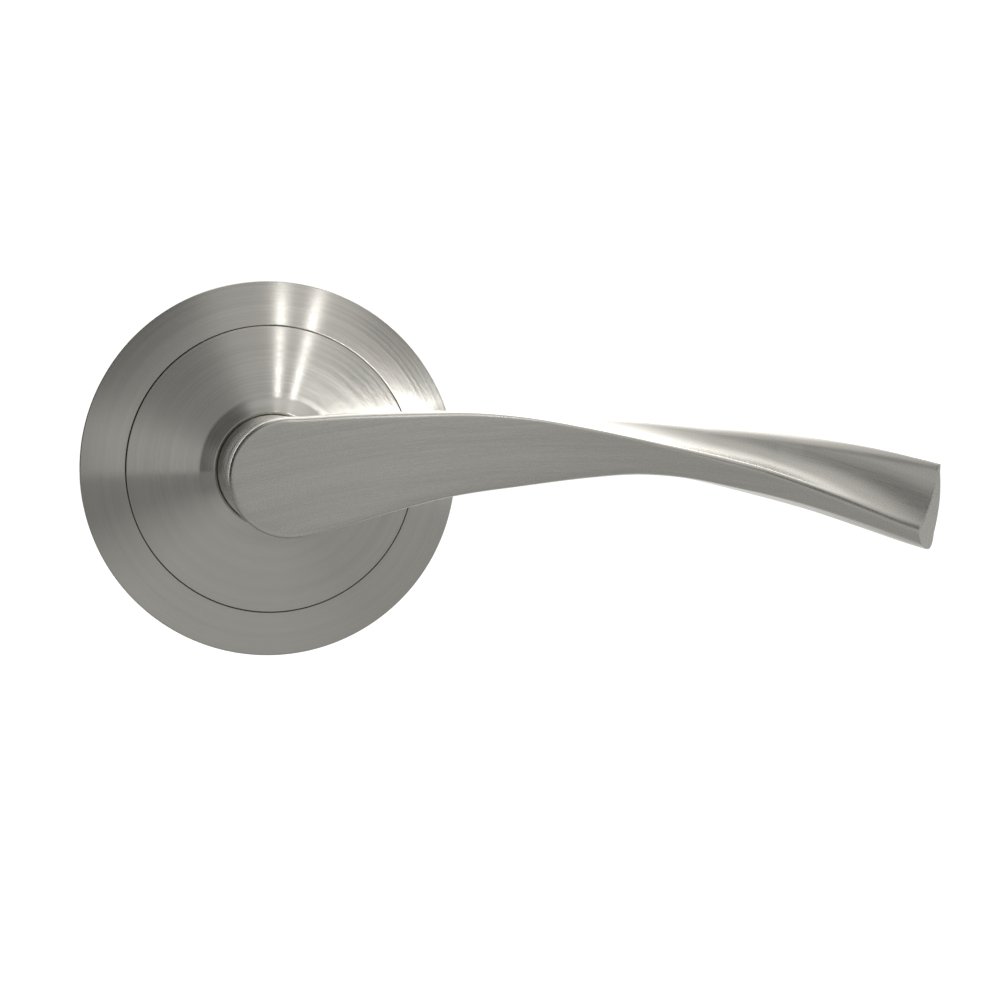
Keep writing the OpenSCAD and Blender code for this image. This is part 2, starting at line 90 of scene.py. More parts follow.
def grid_faces(rows, columns, wrap_rows=False):
    """Quads between rows of points, each row closed into a ring."""
    faces = []
    for i in range(rows if wrap_rows else rows - 1):
        a, b = i * columns, ((i + 1) % rows) * columns
        for j in range(columns):
            k = (j + 1) % columns
            faces.append((a + j, a + k, b + k, b + j))
    return faces


def make_piece(name, points, faces, slot, body, nodes):
    """A smooth-shaded mesh for some CAD nodes, with its normals turned outwards."""
    mesh = bpy.data.meshes.new(name)
    mesh.from_pydata([tuple(p) for p in np.reshape(points, (-1, 3))], [], faces)
    mesh.validate()
    mesh.update()
    piece = bpy.data.objects.new(name, mesh)
    bpy.context.scene.collection.objects.link(piece)
    turn_outwards(mesh)
    mesh.polygons.foreach_set("use_smooth", [len(face.vertices) <= 4 for face in mesh.polygons])
    mesh.materials.append(materials[slot])
    if body:
        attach(piece, body)
    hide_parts(*nodes)
    return piece


def turn_outwards(mesh):
    """Makes the faces of a closed mesh agree and look outwards."""
    shell = bmesh.new()
    shell.from_mesh(mesh)
    bmesh.ops.recalc_face_normals(shell, faces=shell.faces)
    shell.to_mesh(mesh)
    shell.free()


def rounded(outline, radii, steps=6):
    """A closed 2D outline with each corner turned into an arc of its radius.

    An arc takes less than half of each side. A nearly straight corner stays as it is.
    """
    share_of_side, nearly_straight = 0.45, 1.55
    outline = np.asarray(outline, float)
    done = []
    for i, corner in enumerate(outline):
        before, after = outline[i - 1] - corner, outline[(i + 1) % len(outline)] - corner
        room = min(np.linalg.norm(before), np.linalg.norm(after)) * share_of_side
        before, after = before / np.linalg.norm(before), after / np.linalg.norm(after)
        half = math.acos(np.clip(before @ after, -1, 1)) / 2
        if radii[i] == 0 or half > nearly_straight:
            done.append(corner)
            continue
        reach = min(radii[i] / math.tan(half), room)
        radius = reach * math.tan(half)
        middle = (before + after) / np.linalg.norm(before + after)
        centre = corner + middle * radius / math.sin(half)
        start, end = corner + before * reach - centre, corner + after * reach - centre
        sweep = math.pi - 2 * half
        for step in range(steps + 1):
            t = step / steps
            blend = (math.sin((1 - t) * sweep) * start + math.sin(t * sweep) * end) / math.sin(sweep)
            done.append(centre + blend)
    return np.array(done)


def lathe(outline, segments=256):
    """Rings of points round the spindle axis from a closed outline of (radius, out)."""
    angles = np.arange(segments) / segments * TURN
    radius, out = outline[:, :1], outline[:, 1:]
    ring = np.stack([radius * np.cos(angles), out + 0 * angles, radius * np.sin(angles)], -1)
    return to_frame(ring), grid_faces(len(outline), segments, wrap_rows=True)


# ---------------------------------------------------------------- shader building

def node(tree, kind, inputs=None, **settings):
    """Adds a node. An input is a value, or another node's output to link."""
    made = tree.nodes.new("ShaderNode" + kind)
    for key, value in settings.items():
        setattr(made, key, value)
    for key, value in (inputs or {}).items():
        if isinstance(value, bpy.types.NodeSocket):
            tree.links.new(value, made.inputs[key])
        else:
            made.inputs[key].default_value = value
    return made


def math_node(tree, operation, a, b=0.0):
    return node(tree, "Math", {0: a, 1: b}, operation=operation).outputs[0]


def noise(tree, vector, scale, detail=3.0, roughness=0.55):
    inputs = {"Vector": vector, "Scale": scale, "Detail": detail, "Roughness": roughness}
    return node(tree, "TexNoise", inputs).outputs["Fac"]


def between(tree, factor, low, high, from_low=0.3, from_high=0.7):
    """Maps a noise value to a range of numbers."""
    inputs = {"Value": factor, "From Min": from_low, "From Max": from_high, "To Min": low, "To Max": high}
    return node(tree, "MapRange", inputs).outputs["Result"]


def grey(level):
    return (level, level, level)


def mixed_colour(tree, factor, low, high):
    inputs = {0: factor, 6: (*low, 1) if isinstance(low, tuple) else low, 7: (*high, 1)}
    return node(tree, "Mix", inputs, data_type="RGBA", clamp_result=False).outputs[2]


def new_material(name):
    material = bpy.data.materials.new(name)
    material.use_nodes = True
    tree = material.node_tree
    return material, tree, tree.nodes["Principled BSDF"]


def object_position(tree):
    return node(tree, "TexCoord").outputs["Object"]


def in_world(tree, vector):
    """A direction that turns with the piece."""
    settings = {"vector_type": "VECTOR", "convert_from": "OBJECT", "convert_to": "WORLD"}
    return node(tree, "VectorTransform", {"Vector": vector}, **settings).outputs[0]


# How fast the grain changes along the brushing: per radian on the rose, per metre on neck and grip
SPUN_GRAIN, TURNED_GRAIN, LENGTHWISE_GRAIN = 0.2, 60.0, 14.0


def spun_pattern(tree):
    """Grain that runs in rings round the spindle axis, and the direction across it."""
    parts = node(tree, "SeparateXYZ", {0: object_position(tree)})
    flat = node(tree, "CombineXYZ", {0: parts.outputs[0], 2: parts.outputs[2]}).outputs[0]
    radius = node(tree, "VectorMath", {0: flat}, operation="LENGTH").outputs["Value"]
    heading = node(tree, "VectorMath", {0: flat}, operation="NORMALIZE").outputs[0]
    around = node(tree, "SeparateXYZ", {0: heading})
    grain = node(tree, "CombineXYZ", {
        0: math_node(tree, "MULTIPLY", radius, 1 / MM),
        1: math_node(tree, "MULTIPLY", around.outputs[0], SPUN_GRAIN),
        2: math_node(tree, "MULTIPLY", around.outputs[2], SPUN_GRAIN),
    }).outputs[0]
    return grain, in_world(tree, flat)


def turned_pattern(tree):
    """Grain that runs round a shaft, and the direction along the shaft."""
    parts = node(tree, "SeparateXYZ", {0: object_position(tree)})
    grain = node(tree, "CombineXYZ", {
        0: math_node(tree, "MULTIPLY", parts.outputs[1], 1 / MM),
        1: math_node(tree, "MULTIPLY", parts.outputs[0], TURNED_GRAIN),
        2: math_node(tree, "MULTIPLY", parts.outputs[2], TURNED_GRAIN),
    }).outputs[0]
    return grain, in_world(tree, node(tree, "CombineXYZ", {1: 1.0}).outputs[0])


# The grip's middle line climbs by GRIP_RISE * x + GRIP_FALL * x**2, in metres
GRIP_RISE, GRIP_FALL = 0.2153, -2.62


def lengthwise_pattern(tree):
    """Grain that follows the bowed middle line of the grip, and the direction across it."""
    parts = node(tree, "SeparateXYZ", {0: object_position(tree)})
    x = parts.outputs[0]
    slope_node = node(tree, "Math", {0: x, 1: 2 * GRIP_FALL, 2: GRIP_RISE}, operation="MULTIPLY_ADD")
    rise = node(tree, "Math", {0: x, 1: GRIP_FALL, 2: GRIP_RISE}, operation="MULTIPLY_ADD").outputs[0]
    bow = math_node(tree, "MULTIPLY", x, rise)
    level = math_node(tree, "SUBTRACT", parts.outputs[2], bow)
    grain = node(tree, "CombineXYZ", {
        0: math_node(tree, "MULTIPLY", x, LENGTHWISE_GRAIN),
        1: math_node(tree, "MULTIPLY", parts.outputs[1], 1 / MM),
        2: math_node(tree, "MULTIPLY", level, 1 / MM),
    }).outputs[0]
    along = in_world(tree, node(tree, "CombineXYZ", {0: 1.0, 2: slope_node.outputs[0]}).outputs[0])
    normal = node(tree, "NewGeometry").outputs["Normal"]
    across = node(tree, "VectorMath", {0: normal, 1: along}, operation="CROSS_PRODUCT").outputs[0]
    return grain, across


def brushed_metal(name, colour, pattern, roughness, anisotropy, fine=5.0, depth=0.06):
    """Brushed metal: grooves in the colour, the roughness and the surface, all along one grain."""
    material, tree, shader = new_material(name)
    grain, across = pattern(tree)
    scratches = noise(tree, grain, fine, detail=4.0, roughness=0.7)
    bands = noise(tree, grain, fine / 6, detail=2.0)
    clouds = noise(tree, object_position(tree), 90.0, detail=3.0)
    dark = tuple(c * 0.84 for c in colour)
    tone = mixed_colour(tree, between(tree, scratches, 0.0, 1.0), dark, colour)
    light = tuple(min(1.0, c * 1.06) for c in colour)
    tone = mixed_colour(tree, between(tree, bands, 0.0, 0.6), tone, light)
    warm = (colour[0], colour[1] * 0.97, colour[2] * 0.93)
    tone = mixed_colour(tree, between(tree, clouds, 0.0, 0.35), tone, warm)
    rough = between(tree, scratches, roughness - 0.03, roughness + 0.05)
    relief = math_node(tree, "ADD", scratches, math_node(tree, "MULTIPLY", bands, 0.3))
    bump = node(tree, "Bump", {"Height": relief, "Strength": depth, "Distance": 0.05 * MM})
    tree.links.new(tone, shader.inputs["Base Color"])
    tree.links.new(rough, shader.inputs["Roughness"])
    tree.links.new(bump.outputs[0], shader.inputs["Normal"])
    tree.links.new(across, shader.inputs["Tangent"])
    shader.inputs["Metallic"].default_value = 1.0
    shader.inputs["Anisotropic"].default_value = anisotropy
    return material


def worn_metal(name, colour, roughness, grain_size, depth, streak=1.0):
    """Plated, cast or drawn metal: blotchy tone, fine bump, softened and brighter edges."""
    material, tree, shader = new_material(name)
    position = object_position(tree)
    squeeze = {0: position, 1: (1.0, 1 / streak, 1.0)}
    stretched = node(tree, "VectorMath", squeeze, operation="MULTIPLY").outputs[0]
    blotches = noise(tree, position, 220.0, detail=4.0)
    grains = noise(tree, stretched, 1 / grain_size, detail=3.0, roughness=0.6)
    soft = node(tree, "Bevel", {"Radius": 0.18 * MM}, samples=4).outputs[0]
    plain = node(tree, "NewGeometry").outputs["Normal"]
    likeness = node(tree, "VectorMath", {0: soft, 1: plain}, operation="DOT_PRODUCT").outputs["Value"]
    edge = between(tree, likeness, 1.0, 0.0, 0.90, 0.995)
    dark = tuple(c * 0.8 for c in colour)
    tone = mixed_colour(tree, between(tree, blotches, 0.0, 1.0), dark, colour)
    tone = mixed_colour(tree, edge, tone, tuple(min(1.0, c * 1.25) for c in colour))
    half_blotches = math_node(tree, "MULTIPLY", blotches, 0.5)
    mottled = math_node(tree, "ADD", half_blotches, math_node(tree, "MULTIPLY", grains, 0.5))
    rough = between(tree, mottled, roughness - 0.08, roughness + 0.1)
    bump = node(tree, "Bump", {"Height": grains, "Strength": depth, "Distance": 0.06 * MM, "Normal": soft})
    tree.links.new(tone, shader.inputs["Base Color"])
    tree.links.new(rough, shader.inputs["Roughness"])
    tree.links.new(bump.outputs[0], shader.inputs["Normal"])
    shader.inputs["Metallic"].default_value = 1.0
    return material


def dull_material(name, colour, roughness, grain_size, depth):
    """Nylon or foam: mottled colour with a grainy or porous surface."""
    material, tree, shader = new_material(name)
    position = object_position(tree)
    grains = noise(tree, position, 1 / grain_size, detail=4.0, roughness=0.65)
    blotches = noise(tree, position, 150.0)
    dark, light = tuple(c * 0.82 for c in colour), tuple(min(1.0, c * 1.2) for c in colour)
    tone = mixed_colour(tree, between(tree, blotches, 0.0, 1.0), dark, colour)
    tone = mixed_colour(tree, between(tree, grains, 0.0, 0.5), tone, light)
    bump = node(tree, "Bump", {"Height": grains, "Strength": depth, "Distance": 0.1 * MM})
    tree.links.new(tone, shader.inputs["Base Color"])
    tree.links.new(between(tree, grains, roughness - 0.05, roughness + 0.08), shader.inputs["Roughness"])
    tree.links.new(bump.outputs[0], shader.inputs["Normal"])
    return material


NICKEL = (0.635, 0.618, 0.572)
materials = {
    "grip_nickel": brushed_metal("grip_nickel", NICKEL, lengthwise_pattern, 0.26, 0.65, fine=4.0, depth=0.05),
    "neck_nickel": brushed_metal("neck_nickel", NICKEL, turned_pattern, 0.26, 0.7, fine=4.0),
    "ring_nickel": brushed_metal("ring_nickel", NICKEL, spun_pattern, 0.22, 1.0, fine=4.0, depth=0.05),
    "disc_nickel": brushed_metal("disc_nickel", NICKEL, spun_pattern, 0.22, 1.0, fine=3.0, depth=0.05),
    "zinc_casting": worn_metal("zinc_casting", (0.50, 0.50, 0.51), 0.52, 0.0005, 0.35),
    "plate_steel": worn_metal("plate_steel", (0.60, 0.60, 0.59), 0.34, 0.0006, 0.10),
    "zinc_steel": worn_metal("zinc_steel", (0.64, 0.66, 0.68), 0.27, 0.0008, 0.08),
    "spindle_steel": worn_metal("spindle_steel", (0.56, 0.57, 0.58), 0.33, 0.0004, 0.15, streak=30.0),
    "black_steel": worn_metal("black_steel", (0.05, 0.05, 0.055), 0.40, 0.0004, 0.2),
    "spring_steel": worn_metal("spring_steel", (0.28, 0.28, 0.30), 0.30, 0.0003, 0.10),
    "nylon": dull_material("nylon", (0.80, 0.79, 0.73), 0.42, 0.0007, 0.12),
    "foam": dull_material("foam", (0.035, 0.035, 0.037), 0.92, 0.0004, 0.9),
}


# ---------------------------------------------------------------- rose

RIM_HEIGHT = 3.0
RIM_WALL = 1.3
RING_SLOPE = math.tan(math.radians(18))
DISC_SLOPE = math.tan(math.radians(16))
SHEET = 1.0
SEAM_RADIUS = 24.7
SEAM_GAP = 0.06
SEAT_WIDTH = 1.8
ring_low, ring_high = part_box("rose_ring")
ROSE_RADIUS = (ring_high.x - ring_low.x) / 2 / MM
SEAM_HEIGHT = RIM_HEIGHT + (ROSE_RADIUS - SEAM_RADIUS) * RING_SLOPE
COLLAR_RADIUS = 12.4
COLLAR_SLOPE = math.tan(math.radians(32))
NECK_RADIUS = 9.4
NECK_CLEARANCE = 0.15


def disc_height(radius):
    """Height of the disc's outer face, which turns up into a collar round the neck."""
    height = SEAM_HEIGHT + (SEAM_RADIUS - radius) * DISC_SLOPE
    return height + max(0.0, COLLAR_RADIUS - radius) * (COLLAR_SLOPE - DISC_SLOPE)


def disc_underside(radius):
    """Height of the disc's inner face."""
    return disc_height(radius) - SHEET / math.cos(math.atan(DISC_SLOPE))


def make_rose_ring():
    """The outer cone with its rim, and the seat that carries the disc's edge."""
    edge, seat = SEAM_RADIUS + SEAM_GAP, SEAM_RADIUS - SEAT_WIDTH
    wall = ROSE_RADIUS - RIM_WALL
    play, thickness = 0.02, 0.6
    drop = SHEET / math.cos(math.atan(RING_SLOPE)) + 0.55
    outline = [
        (wall, 0), (ROSE_RADIUS, 0), (ROSE_RADIUS, RIM_HEIGHT), (edge, SEAM_HEIGHT),
        (edge, disc_underside(edge) - play), (seat, disc_underside(seat) - play),
        (seat, disc_underside(seat) - thickness), (SEAM_RADIUS - 0.3, SEAM_HEIGHT - drop),
        (wall, RIM_HEIGHT - thickness),
    ]
    radii = [0.15, 0.2, 0.32, 0.14, 0, 0.1, 0.1, 0.3, 0.4]
    points, faces = lathe(rounded(outline, radii))
    return make_piece("rose_ring_spun", points, faces, "ring_nickel", "rose", ["rose_ring"])


def make_rose_disc():
    """The inner cone with its collar and a bevelled hole for the neck."""
    edge, hole = SEAM_RADIUS - SEAM_GAP, NECK_RADIUS + NECK_CLEARANCE
    bevel = 0.4
    lip = hole + bevel
    outline = [
        (hole, disc_underside(hole)), (COLLAR_RADIUS, disc_underside(COLLAR_RADIUS)),
        (edge, disc_underside(edge)), (edge, disc_height(edge)), (COLLAR_RADIUS, disc_height(COLLAR_RADIUS)),
        (lip, disc_height(lip)), (hole, disc_height(lip) - 0.6 * bevel),
    ]
    radii = [0.1, 2.0, 0.15, 0.14, 2.5, 0.25, 0.15]
    points, faces = lathe(rounded(outline, radii))
    return make_piece("rose_disc_spun", points, faces, "disc_nickel", "rose", ["rose_disc"])


# ---------------------------------------------------------------- grip

# Rails of the grip as (distance along, out, height), then the hollow of its upper face, the
# bulge of its back and its roundings as (distance along, size), all as in the CAD
CREASE = [
    (0, 46, 9.4), (10, 46, 9.9), (20, 46.1, 10.15), (29, 46.3, 10.1), (38, 46.4, 9.2), (48, 46.5, 7.35),
    (58, 46.3, 5.1), (70, 45.9, 2.1), (82, 45.3, -1.3), (94, 44.2, -5.3), (104, 42.9, -9.1),
    (112, 41.8, -11.8),
]
LOWER_FRONT = [
    (0, 46, -9.4), (3, 46, -9.05), (8, 46, -7.8), (17, 46, -5.25), (26, 46, -3.15), (37, 45.9, -1.7),
    (48, 45.4, -0.5), (56, 44.9, -0.05), (64, 44.6, -0.6), (74, 44.1, -2.6), (84, 43.4, -4.8),
    (94, 42.5, -7.6), (104, 41.5, -10.8), (112, 40.6, -13.7),
]
LOWER_BACK = [
    (0, 38, -9.4), (3, 38, -9.05), (8, 38, -7.7), (17, 37.8, -4.9), (26, 37.4, -2.4), (37, 37, -0.6),
    (48, 36.8, 0.7), (58, 36.5, 0.6), (70, 36.2, -2.1), (84, 36.2, -6.3), (94, 36.5, -10), (104, 37, -13.6),
    (112, 37.4, -15.6),
]
TOP_BACK = [
    (0, 38, 9.4), (10, 38, 9.95), (22, 37.7, 10.25), (34, 37.3, 10.2), (46, 36.9, 9.8), (58, 36.5, 9.6),
    (70, 36.3, 9.5), (82, 36.6, 8.35), (94, 37.2, 6.1), (104, 37.8, 3.4), (112, 38.2, 1),
]
SCOOP = [(0, 0), (26, 0), (50, 0.48), (80, 1.2), (112, 0.9)]
BACK_BULGE = [(0, 0), (40, 0), (70, 0.3), (112, 0.9)]
CREASE_ROUND = [(0, 1), (20, 1), (40, 0.5), (55, 0.6), (70, 1), (112, 1)]
LOWER_FRONT_ROUND = [(0, 1), (30, 1.5), (56, 1.6), (70, 0.7), (112, 0.6)]
LOWER_BACK_ROUND = [(0, 1), (12, 1), (40, 3.6), (90, 4), (112, 4.2)]
TOP_BACK_ROUND = [(0, 1), (30, 2), (58, 3.2), (68, 4.6), (84, 4.2), (96, 3.4), (112, 2.2)]
GRIP_END = 106.6
LEAN_START = 76.0
LEAN_OUT, LEAN_UP = -0.92, 0.12
END_MIDDLE_OUT, END_MIDDLE_HEIGHT = 39.6, -4.0
FACE_STEPS, CORNER_STEPS, GRIP_RINGS = 16, 8, 261


def on_rail(rail, x):
    """Point (out, height) of a rail at x, by a cubic through its points."""
    rail = np.array(rail, float)
    last = len(rail) - 1
    i = int(np.clip(np.searchsorted(rail[:, 0], x, side="right") - 1, 0, last - 1))

    def slope(k):
        if k == 0:
            return np.zeros(2)
        a, b = k - 1, min(k + 1, last)
        return (rail[b, 1:] - rail[a, 1:]) / (rail[b, 0] - rail[a, 0])

    width = rail[i + 1, 0] - rail[i, 0]
    t = (x - rail[i, 0]) / width
    return (
        rail[i, 1:] * (2 * t**3 - 3 * t**2 + 1) + slope(i) * width * (t**3 - 2 * t**2 + t)
        + rail[i + 1, 1:] * (3 * t**2 - 2 * t**3) + slope(i + 1) * width * (t**3 - t**2)
    )


def along(table, x):
    """Value of a table at x, in straight lines between its rows."""
    return float(np.interp(x, [row[0] for row in table], [row[1] for row in table]))


def corner(before, point, after, radius):
    """Points of a rounded corner, without the last."""
    start = point + radius * (before - point) / np.linalg.norm(before - point)
    end = point + radius * (after - point) / np.linalg.norm(after - point)
    steps = np.arange(CORNER_STEPS)[:, None] / CORNER_STEPS
    return start * (1 - steps) ** 2 + 2 * point * steps * (1 - steps) + end * steps**2


def side(a, b, round_a, round_b, hollow=0.0):
    """Points of a side between two rounded corners, curved inwards by hollow at its middle."""
    heading = (b - a) / np.linalg.norm(b - a)
    inward = np.array([heading[1], -heading[0]])
    start, end = a + round_a * heading, b - round_b * heading
    steps = np.arange(FACE_STEPS)[:, None] / FACE_STEPS
    return start + steps * (end - start) + 4 * steps * (1 - steps) * hollow * inward


def grip_section(x):
    """Closed outline of the grip at x, as (out, height) points."""
    k, f, g, h = (on_rail(rail, x) for rail in (CREASE, LOWER_FRONT, LOWER_BACK, TOP_BACK))
    rounds = (CREASE_ROUND, LOWER_FRONT_ROUND, LOWER_BACK_ROUND, TOP_BACK_ROUND)
    rk, rf, rg, rh = (along(table, x) for table in rounds)
    return np.vstack([
        corner(h, k, f, rk), side(k, f, rk, rf), corner(k, f, g, rf), side(f, g, rf, rg),
        corner(f, g, h, rg), side(g, h, rg, rh, -along(BACK_BULGE, x)),
        corner(g, h, k, rh), side(h, k, rh, rk, along(SCOOP, x)),
    ])


def grip_ring(x):
    """Outline of the grip at x in space. Towards the tip it leans, so that the end is oblique."""
    outline = grip_section(x)
    share = max(0.0, (x - LEAN_START) / (GRIP_END - LEAN_START))
    lean = LEAN_OUT * (outline[:, 0] - END_MIDDLE_OUT) + LEAN_UP * (outline[:, 1] - END_MIDDLE_HEIGHT)
    return np.stack([x + share * lean, outline[:, 0], outline[:, 1]], -1)


def end_rings(last, before, edge=0.15, steps=5):
    """Rings that round over the edge of the end face, by less where the face is thin or tight."""
    heading = (last - before) / np.linalg.norm(last - before, axis=1, keepdims=True)
    inward = np.cross((1, -LEAN_OUT, -LEAN_UP), np.roll(last, -1, 0) - np.roll(last, 1, 0))
    inward /= np.linalg.norm(inward, axis=1, keepdims=True)
    inward *= np.sign(((last.mean(0) - last) * inward).sum())
    # Radius of the largest circle in the face that touches its outline at each point
    apart = last[None] - last[:, None]
    depth = (apart * inward[:, None]).sum(-1)
    radius = (apart**2).sum(-1) / (2 * np.maximum(depth, TINY))
    room = np.where(depth > TINY, radius, np.inf).min(1)
    reach = np.minimum(edge, 0.5 * room)
    reach = np.min([np.roll(reach, shift) for shift in (-1, 0, 1)], axis=0)[:, None]
    angles = np.arange(steps + 1) / steps * math.pi / 2
    return [last - heading * reach * (1 - math.sin(a)) + inward * reach * (1 - math.cos(a)) for a in angles]


def make_grip():
    """The twisted bar with its oblique end face, and the round end in front of the neck."""
    body_rings = [grip_ring(x) for x in np.linspace(0, GRIP_END, GRIP_RINGS)]
    rings = body_rings[:-1] + end_rings(body_rings[-1], body_rings[-2])
    columns = len(rings[0])
    faces = grid_faces(len(rings), columns)
    points = [p for ring in rings for p in ring]
    last = (len(rings) - 1) * columns
    faces.append(tuple(range(last, last + columns)))
    # The round end turns the upper half of the first outline about the spindle axis. The outline
    # is followed from its lower back corner, over the top, to the front.
    start = 2 * (CORNER_STEPS + FACE_STEPS) + CORNER_STEPS // 2
    order = [(start + i) % columns for i in range(columns)]
    upper = [i for i in order if rings[0][i][2] > TINY]
    middles = [i for i in order if abs(rings[0][i][2]) < TINY]
    add_round_end(points, faces, rings[0], upper, middles)
    points = to_frame(points)
    return make_piece("lever_grip_forged", points, faces, "grip_nickel", "lever", ["lever_grip"])


def add_round_end(points, faces, ring, upper, middles, segments=72):
    """Half a turn of the upper half of a ring, stitched to the ring's upper and lower halves."""
    count = len(points)
    lower = [int(np.argmin(np.abs(ring - ring[i] * (1, 1, -1)).sum(1))) for i in upper]
    rows = [upper]
    for step in range(1, segments):
        angle = math.pi * step / segments
        row = []
        for i in upper:
            radius = ring[i][2]
            points.append(np.array([-radius * math.sin(angle), ring[i][1], radius * math.cos(angle)]))
            row.append(count)
            count += 1
        rows.append(row)
    rows.append(lower)
    for a, b in zip(rows[:-1], rows[1:]):
        for j in range(len(upper) - 1):
            faces.append((a[j], a[j + 1], b[j + 1], b[j]))
    for end, middle in ((0, nearest(ring, middles, upper[0])), (-1, nearest(ring, middles, upper[-1]))):
        for a, b in zip(rows[:-1], rows[1:]):
            faces.append((a[end], b[end], middle))


def nearest(ring, candidates, i):
    return min(candidates, key=lambda c: np.abs(ring[c] - ring[i]).sum())


# ---------------------------------------------------------------- spring, bolts and screws

WIRE = 1.0
COIL_RADIUS, COIL_BACK, COIL_FRONT = 12.6, 3.85, 5.75
LEG_ANGLE, COIL_TURNS = 105.1, 1.9
ARM_ANGLE, LEG_OFFSET, ARM_RADIUS = 112.5, 1.65, 17.8
LEG_MIDDLE, LEG_BEND, BEND_ANGLE = 15.8, 14.2, 7.5
HOOK_RISE, HOOK_END = 0.8, 7.0


def polar(radius, angle, out):
    """A point by its radius and its angle in degrees round the spindle axis."""
    a = math.radians(angle)
    return np.array([radius * math.cos(a), out, radius * math.sin(a)])


def bend(start, corner_point, end, steps):
    """Points of a bend from start towards end, without the last."""
    t = np.arange(steps)[:, None] / steps
    return start * (1 - t) ** 2 + 2 * corner_point * t * (1 - t) + end * t**2


def spring_line():
    """Middle line of the spring: leg along the arm, bend, coil, bend and hook."""
    hook_angle = LEG_ANGLE + 360 * COIL_TURNS

    def leg(radius):
        a = math.radians(ARM_ANGLE)
        x, z = radius * math.cos(a), radius * math.sin(a)
        return np.array([x + LEG_OFFSET * math.sin(a), COIL_BACK, z - LEG_OFFSET * math.cos(a)])

    def coil(angle):
        share = (angle - LEG_ANGLE) / (hook_angle - LEG_ANGLE)
        return polar(COIL_RADIUS, angle, COIL_BACK + share * (COIL_FRONT - COIL_BACK))

    first, last = LEG_ANGLE + BEND_ANGLE, hook_angle - BEND_ANGLE / 1.5
    turned = np.array([coil(a) for a in np.linspace(first, last, 200)])
    hook = polar(COIL_RADIUS, hook_angle, COIL_FRONT)
    raised_hook = hook + (0, HOOK_RISE, 0)
    legs = [leg(ARM_RADIUS), leg(LEG_MIDDLE)]
    into_coil = bend(leg(LEG_BEND), leg(COIL_RADIUS), coil(first), 10)
    into_hook = bend(turned[-1], hook, raised_hook, 8)[1:]
    hook_end = hook + (0, HOOK_END - COIL_FRONT, 0)
    return np.vstack([legs, into_coil, turned, into_hook, [raised_hook, hook_end]])


def tube(line, radius, sides=20):
    """Rings round a line of points, carried along it without twist."""
    headings = np.gradient(line, axis=0)
    headings /= np.linalg.norm(headings, axis=1, keepdims=True)
    side_way = np.array([0.0, 1.0, 0.0])
    angles = np.arange(sides)[:, None] / sides * TURN
    rings = []
    for point, heading in zip(line, headings):
        side_way = side_way - (side_way @ heading) * heading
        side_way /= np.linalg.norm(side_way)
        other = np.cross(heading, side_way)
        rings.append(point + radius * (np.cos(angles) * side_way + np.sin(angles) * other))
    return rings


def closed(rings):
    """Faces over rings of points, with both ends closed."""
    columns = len(rings[0])
    faces = grid_faces(len(rings), columns)
    last = (len(rings) - 1) * columns
    return faces + [tuple(range(columns)), tuple(range(last, last + columns))]


def make_spring():
    """The spring as one tube, between the base plate and the rotor's drive pin."""
    rings = tube(spring_line(), WIRE / 2)
    points, faces = to_frame(rings), closed(rings)
    piece = make_piece("return_spring_wound", points, faces, "spring_steel", None, ["return_spring"])
    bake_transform(piece)


BOLT_SPACING, BOLT_RADIUS, BOLT_SHANK, BOLT_HEAD = 38.0, 2.0, 1.8, 3.4
BOLT_TIP, BOLT_THREAD_END, BOLT_SEAT, BOLT_TOP = -40.0, -6.0, 2.4, 4.7
SCREW_SPACING, SCREW_RADIUS, SCREW_NECK, SCREW_HEAD = 49.0, 1.75, 1.4, 3.15
SCREW_TIP, SCREW_POINT_END, SCREW_TOP = -16.0, -11.0, 3.0


def threaded(outline, pitch, depth, crest, start, end, sides=40, steps=10):
    """Rings of a screw: an outline of (radius, out) with a helical groove from start to end."""
    outline = np.array(outline)
    outs = np.unique(np.concatenate([outline[:, 1], np.arange(start, end, pitch / steps)]))
    angles = np.arange(sides) / sides * TURN
    rings = []
    for out in outs:
        radius = np.interp(out, outline[:, 1], outline[:, 0])
        phase = (out / pitch - angles / TURN) % 1
        groove = np.clip((np.abs(2 * phase - 1) - crest) / (1 - crest) * 1.3, 0, 1)
        fade = np.clip(min(out - start, end - out) / pitch, 0, 1)
        ring = radius - min(depth, 0.45 * radius) * groove * fade
        rings.append(np.stack([ring * np.cos(angles), np.full(sides, out), ring * np.sin(angles)], -1))
    return rings


def carve(piece, cutter_points, cutter_faces):
    """Cuts a closed mesh out of a piece."""
    mesh = bpy.data.meshes.new("cutter")
    mesh.from_pydata([tuple(p) for p in np.reshape(cutter_points, (-1, 3))], [], cutter_faces)
    turn_outwards(mesh)
    cutter = bpy.data.objects.new("cutter", mesh)
    bpy.context.scene.collection.objects.link(cutter)
    cut = piece.modifiers.new("cut", "BOOLEAN")
    cut.object, cut.operation, cut.solver = cutter, "DIFFERENCE", "EXACT"
    bpy.context.view_layer.update()
    done = bpy.data.meshes.new_from_object(piece.evaluated_get(bpy.context.evaluated_depsgraph_get()))
    piece.modifiers.remove(cut)
    piece.data = done
    bpy.data.objects.remove(cutter)


def block(low, high):
    """A box between two corners given as (x, out, z)."""
    corners = [
        [x, out, z] for x in (low[0], high[0]) for out in (low[1], high[1]) for z in (low[2], high[2])
    ]
    faces = [(0, 1, 3, 2), (4, 5, 7, 6), (0, 1, 5, 4), (2, 3, 7, 6), (0, 2, 6, 4), (1, 3, 7, 5)]
    return to_frame(corners), faces


